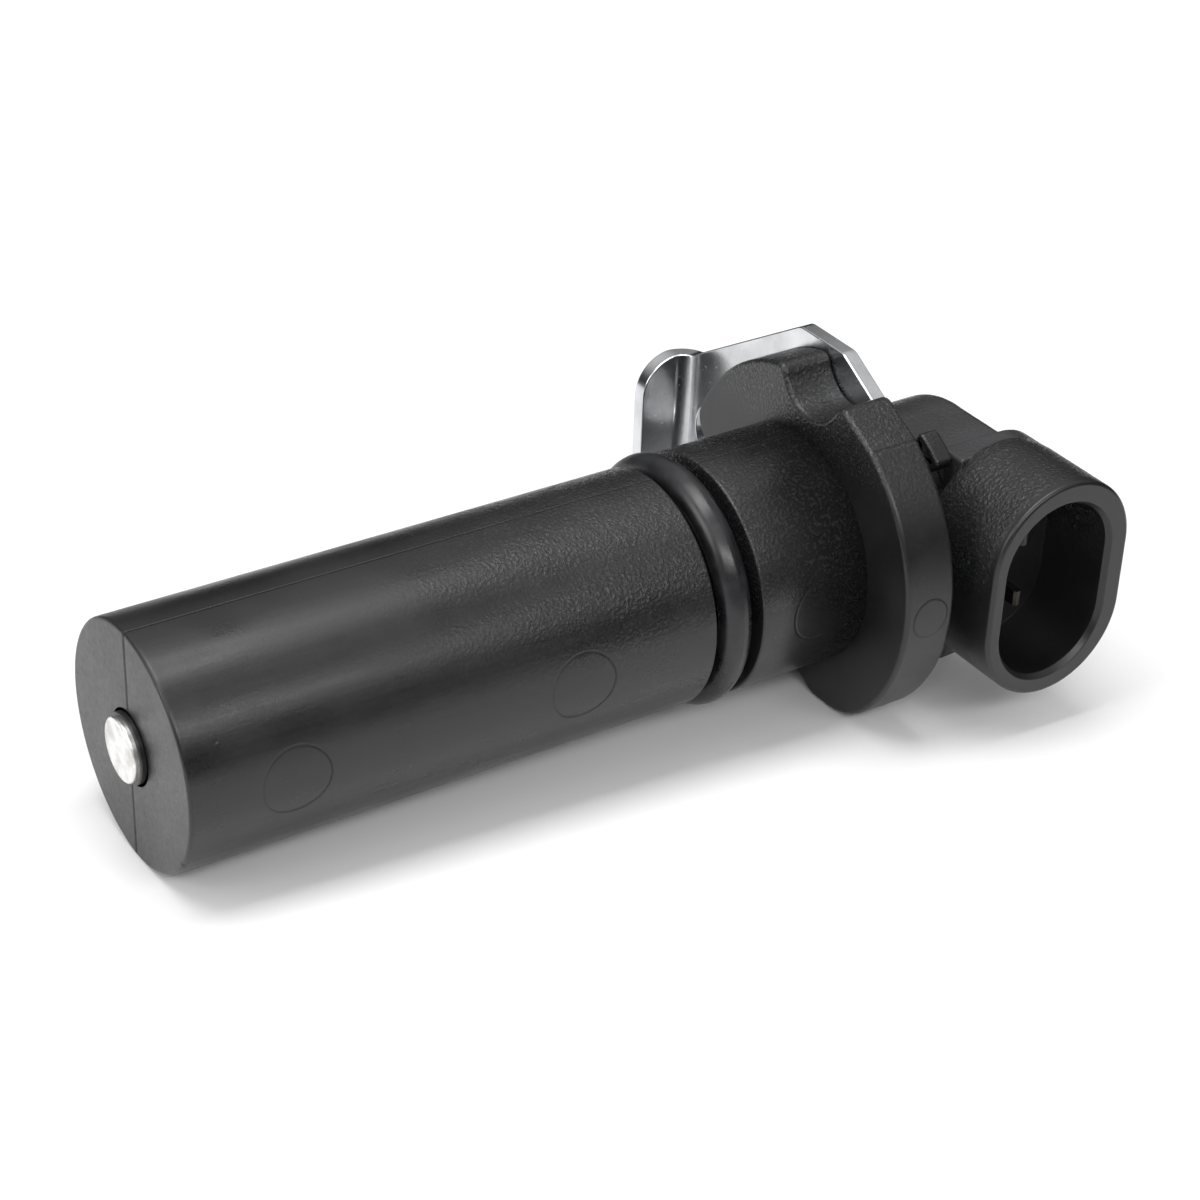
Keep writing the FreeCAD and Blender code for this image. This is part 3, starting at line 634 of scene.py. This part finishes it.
def make_neck():
    """The neck carries the rear housing's top and bottom on towards -Y.  The block after it is a
    little higher, flat above and below and well rounded behind, and carries the socket.  Both
    are outlines in XZ, (x, z, radius) at each corner, carried along Y."""
    neck = [(NECK_FRONT, -NECK_HALF, 0.4), (NECK_REAR, -NECK_HALF, 1.2),
            (NECK_REAR, NECK_HALF, 1.2), (NECK_FRONT, NECK_HALF, 0.4)]
    carrier = [(BLOCK_FRONT, BLOCK_LOW[0], 0.4), (BLOCK_REAR, BLOCK_LOW[1], BLOCK_ROUND),
               (BLOCK_REAR, BLOCK_TOP, BLOCK_ROUND), (BLOCK_FRONT, BLOCK_TOP, 0.4)]
    for name, corners, start, end in (("connector_neck", neck, 0.0, NECK_STEP - 0.6),
                                      ("neck_block", carrier, NECK_STEP, BLOCK_END)):
        corners = np.array(corners)
        outline = softened(corners[:, :2], corners[:, 2], 24, closed=True)
        piece = block(name, outline, lambda s, a, b: np.stack([a, s, b], -1), (start, end), 0.2)
        dress(piece, rear_black_painted_lighter, ["housing"])


def make_stop():
    """The small turn stop on the rear housing's flank: a sector between two radii, carried along
    X."""
    first, last = (math.radians(angle) for angle in STOP_ANGLES)
    a = np.array([first, (first + last) / 2, last])
    outer = np.stack([STOP_R[1] * np.cos(a), STOP_R[1] * np.sin(a)], -1)
    inner = np.stack([STOP_R[0] * np.cos(a[[2, 0]]), STOP_R[0] * np.sin(a[[2, 0]])], -1)
    outline = softened(np.concatenate([outer, inner]), [0.5, 0, 0.5, 0, 0], 7, closed=True)
    piece = block("turn_stop", outline, lambda s, a, b: np.stack([s, a, b], -1), STOP_X, 0.35)
    dress(piece, flange_black_painted_darker, ["housing"])


def make_shroud():
    """The open oval socket: out along the wall, round the rim, in along the inside and across
    the floor, as (y, inset) from the shroud's oval.  The outside ovals have their middle
    OUTSIDE_BACK further back and OUTSIDE_UP higher than the inside ones, and are a little
    larger, so the wall is thicker there."""
    wall = SHROUD_WALL
    outer = softened([(SHROUD_START, 3.0), (SHROUD_START, 0.12), (SHROUD_START - 1.6, 0),
                      (SHROUD_FRONT, 0), (SHROUD_FRONT, wall / 2)], [0, 0.2, 4.0, 0.6, 0], 8)
    inner = softened([(SHROUD_FRONT, wall / 2), (SHROUD_FRONT, wall - 0.4),
                      (SHROUD_FRONT + 0.5, wall), (SOCKET_FLOOR, wall),
                      (SOCKET_FLOOR, wall + 3.0)], [0, 0.15, 0.15, 0.03, 0], 8)[1:]
    rings = []
    for line, outside in ((outer, 1.0), (inner, 0.0)):
        for y, inset in line:
            flat = oval(SHROUD_HALF + OUTSIDE_MORE * outside - inset,
                        SHROUD_RISE + OUTSIDE_UP * outside)
            rings.append(np.stack([SHROUD_X + OUTSIDE_BACK * outside + flat[:, 0],
                                   np.full(len(flat), y),
                                   OUTSIDE_UP * outside + flat[:, 1]], -1))
    dress(skin("connector_shroud", rings), shroud_black_painted_darker, ["housing"])


def make_lock():
    """The locking ramp on the shroud's rear side: an outline in XY, carried along Z."""
    face = SHROUD_X + SHROUD_HALF
    outline = softened([(face - 0.5, LOCK_Y[0]), (face, LOCK_Y[0]),
                        (face + LOCK_RISE, LOCK_Y[1]), (face - 0.5, LOCK_Y[1])],
                       [0, 0.3, 0.12, 0], 5, closed=True)
    piece = block("lock_ramp", outline, lambda s, a, b: np.stack([a, b, s], -1),
                  (-LOCK_HALF, LOCK_HALF), 0.3)
    dress(piece, shroud_black_painted_darker, ["housing"])


make_nose()
make_flange()
make_rear()
make_neck()
make_stop()
make_shroud()
make_lock()

# ---------------------------------------------------------------- seal, pin and plate

def make_seal():
    """The O-ring: a circle of the cord's radius carried round X, with a faint parting ridge."""
    around, across = 360, 72
    a = np.linspace(0, TURN, around, endpoint=False)
    f = np.linspace(0, TURN, across, endpoint=False)
    cord = CORD_R + RIDGE * np.exp(-((np.cos(f - math.pi / 2) - 1) / 0.002) ** 2)
    r = GROOVE_R + CORD_R + cord * np.sin(f)
    x = (GROOVE_FRONT + GROOVE_BACK) / 2 + cord * np.cos(f)
    points = np.stack([np.tile(x, (around, 1)), r[None] * np.cos(a)[:, None],
                       r[None] * np.sin(a)[:, None]], -1)
    grid = np.arange(around * across).reshape(around, across)
    faces = np.stack([grid, np.roll(grid, -1, 1), np.roll(grid, (-1, -1), (0, 1)),
                      np.roll(grid, -1, 0)], -1).reshape(-1, 4)
    dress(add_mesh("seal_ring", points.reshape(-1, 3), faces.tolist()), rubber,
          ["o_ring"])


def make_pin():
    """The pole pin: its turned end stands PIN_OUT out of the tip; the head is inside."""
    middle = 0.15
    corners = [(NOSE_END - PIN_OUT, middle), (NOSE_END - PIN_OUT, PIN_R), (PIN_HEAD[0], PIN_R),
               (PIN_HEAD[0], PIN_HEAD_R), (PIN_HEAD[1], PIN_HEAD_R), (PIN_HEAD[1], middle)]
    dress(turned("pole_pin", softened(corners, [0, 0.18, 0.1, 0.1, 0.1, 0]), 128), iron,
          ["pole_piece"])


def make_sleeve():
    """The black sleeve round the pin: the spigot's end, which stands SLEEVE_OUT proud."""
    corners = [(NOSE_END + 0.6, 1.0), (NOSE_END + 0.6, SLEEVE_R),
               (NOSE_END - SLEEVE_OUT, SLEEVE_R), (NOSE_END - SLEEVE_OUT, 1.0)]
    dress(turned("pin_sleeve", softened(corners, [0, 0.1, 0.14, 0]), 128), spool)


def make_plate():
    """The pressed plate: its solid merged, with its near corner drawn in to PLATE_NEAR from the
    axis, where the flange hides it, and its sharp edges rounded."""
    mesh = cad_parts["mounting_plate"].data.copy()
    mesh.name = "bolt_plate"
    work = bmesh.new()
    work.from_mesh(mesh)
    bmesh.ops.remove_doubles(work, verts=work.verts, dist=1e-6)
    bmesh.ops.dissolve_limit(work, angle_limit=math.radians(0.5), verts=work.verts,
                             edges=work.edges)
    work.to_mesh(mesh)
    work.free()
    points = np.empty(3 * len(mesh.vertices))
    mesh.vertices.foreach_get("co", points)
    points = points.reshape(-1, 3)
    far = np.hypot(points[:, 1], points[:, 2])
    angle = np.degrees(np.arctan2(points[:, 2], points[:, 1])) % 360
    near = (angle > PLATE_NEAR_ANGLES[0]) & (angle < PLATE_NEAR_ANGLES[1])
    drawn = np.where(near, np.minimum(1.0, PLATE_NEAR * MM / np.maximum(far, 1e-9)), 1.0)
    points[:, 1:] *= drawn[:, None]
    mesh.vertices.foreach_set("co", points.ravel())
    mesh.update()
    mesh.polygons.foreach_set("use_smooth", [True] * len(mesh.polygons))
    mesh.set_sharp_from_angle(angle=math.radians(32))
    piece = bpy.data.objects.new("bolt_plate", mesh)
    bpy.context.scene.collection.objects.link(piece)
    bevel = piece.modifiers.new("rounding", "BEVEL")
    bevel.width = PLATE_ROUND * MM
    bevel.segments = 3
    bevel.limit_method = "ANGLE"
    bevel.angle_limit = math.radians(40)
    dress(piece, zinc, ["mounting_plate"])


make_seal()
make_pin()
make_sleeve()
make_plate()

NODE_PAINT = {
    "mounting_plate": zinc,
    "magnet": magnet_grey,
    "bobbin": spool,
    "coil_winding": copper,
    "winding_tape": tape,
    "terminal_holder": spool,
    "terminal_upper": tinned,
    "terminal_lower": tinned,
    "coil_lead_upper": copper,
    "coil_lead_lower": copper,
    "solder_joint_upper": solder_bright,
    "solder_joint_lower": solder_bright,
    "housing": nose_black,
    "o_ring": rubber,
    "pole_piece": iron,
}
for name, material in NODE_PAINT.items():
    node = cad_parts[name]
    if node.material_slots:
        for slot in node.material_slots:
            slot.material = material
    else:
        node.data.materials.append(material)


# ---------------------------------------------------------------- stage

def make_floor():
    """The plane that the sensor rests on, through the flange's low edge and the nose's tip.  It
    keeps the sensor's shadow.  Further away it is white to the camera, and dark in the
    sensor's own reflections."""
    reach = 1500.0
    clear = 0.02
    slope = (FLANGE_FLAT - NOSE_R) / (FLANGE_ROUND - NOSE_END)
    x = np.array([-reach, reach, reach, -reach])
    y = np.array([-reach, -reach, reach, reach])
    z = -NOSE_R - clear - slope * (x - NOSE_END)
    floor = add_mesh("floor", np.stack([x, y, z], -1), [[0, 1, 2, 3]])
    paint = Paint("floor_white", 0.9, Emission_Strength=1.0)
    ray = paint.node("ShaderNodeLightPath", {}, {})
    x, y = paint.axes()[:2]
    x = x + 0.02
    away = paint.math("SQRT", x * x + y * y)
    far = paint.between(away, 0.10, 0.26) * Socket(paint, ray.outputs["Is Glossy Ray"])
    paint.feed("Base Color", paint.blend(far, rgb(0.84, 0.84, 0.84), rgb(0.03, 0.03, 0.03)))
    paint.feed("Roughness", paint.between(paint.noise(60.0, 2.0), 0.2, 0.8, 0.85, 0.95))
    seen = paint.between(away, 0.14, 0.50) * Socket(paint, ray.outputs["Is Camera Ray"])
    paint.feed("Emission Color", paint.blend(seen, rgb(0.0, 0.0, 0.0), rgb(1.0, 1.0, 1.0)))
    floor.data.materials.append(paint.material)


def make_world():
    """White to the camera and a plain soft sky to the object, darker towards the horizon."""
    world = bpy.data.worlds.new("studio")
    world.use_nodes = True
    bpy.context.scene.world = world
    tree = world.node_tree
    place = add_node(tree, "ShaderNodeTexCoord", {}, {})
    split = add_node(tree, "ShaderNodeSeparateXYZ", {}, {0: place.outputs["Generated"]})
    height = add_node(tree, "ShaderNodeMapRange", {"interpolation_type": "SMOOTHSTEP"},
                      {"Value": split.outputs[2], "From Min": 0.18, "From Max": 0.80,
                       "To Min": 0.03, "To Max": 0.70})
    ray = add_node(tree, "ShaderNodeLightPath", {}, {})
    shine = add_node(tree, "ShaderNodeMix", {"data_type": "FLOAT"},
                     {0: ray.outputs["Is Glossy Ray"], 2: 0.5, 3: height.outputs[0]})
    seen = add_node(tree, "ShaderNodeMath", {"operation": "MAXIMUM"},
                    {0: ray.outputs["Is Camera Ray"], 1: ray.outputs["Is Transmission Ray"]})
    level = add_node(tree, "ShaderNodeMix", {"data_type": "FLOAT"},
                     {0: seen.outputs[0], 2: shine.outputs[0], 3: 1.0})
    background = tree.nodes["Background"]
    tree.links.new(level.outputs[0], background.inputs["Strength"])
    background.inputs["Color"].default_value = rgb(1.0, 1.0, 1.0)


def stand(thing, side, up, back, place):
    """Put a lamp or the camera at a place in metres, its X, Y and Z axes along the other three."""
    for column, values in enumerate((side, up, back, place)):
        for row in range(3):
            thing.matrix_world[row][column] = values[row]
    bpy.context.scene.collection.objects.link(thing)


def add_lamp(name, place, aim, size, power):
    """An area lamp at a place, turned to the point it aims at.  Power is in watts."""
    light = bpy.data.lights.new(name, "AREA")
    light.shape = "RECTANGLE"
    light.size, light.size_y = size
    light.energy = power
    back = (np.array(place) - np.array(aim)).astype(float)
    back /= np.linalg.norm(back)
    side = np.cross([0, 0, 1.0] if abs(back[2]) < 0.98 else [0, 1.0, 0], back)
    side /= np.linalg.norm(side)
    stand(bpy.data.objects.new(name, light), side, np.cross(back, side), back, place)


def make_camera():
    """The photograph's own view, worked out from the nose's outline."""
    data = bpy.data.cameras.new("camera")
    data.sensor_width = 36.0
    data.lens = 85.578
    data.clip_start = 0.01
    data.clip_end = 10.0
    camera = bpy.data.objects.new("camera", data)
    stand(camera, side=(0.83839, -0.54398, 0.03437), up=(0.26146, 0.45669, 0.85034),
          back=(-0.47826, -0.70394, 0.52512), place=(-0.14223, -0.17823, 0.13302))
    bpy.context.scene.camera = camera


make_floor()
make_world()
# Each lamp's name, place, the point it aims at and its size in metres, and its power in watts.
add_lamp("overhead", (-0.10, 0.03, 0.60), (-0.02, 0, 0), (0.60, 0.22), 2.8)
add_lamp("front", (-0.12, -0.48, 0.42), (-0.02, 0, 0), (0.80, 0.12), 2.0)
add_lamp("left", (-0.62, 0.06, 0.30), (-0.05, 0, 0), (0.40, 0.30), 1.4)
make_camera()
bpy.context.scene.view_settings.view_transform = "Standard"
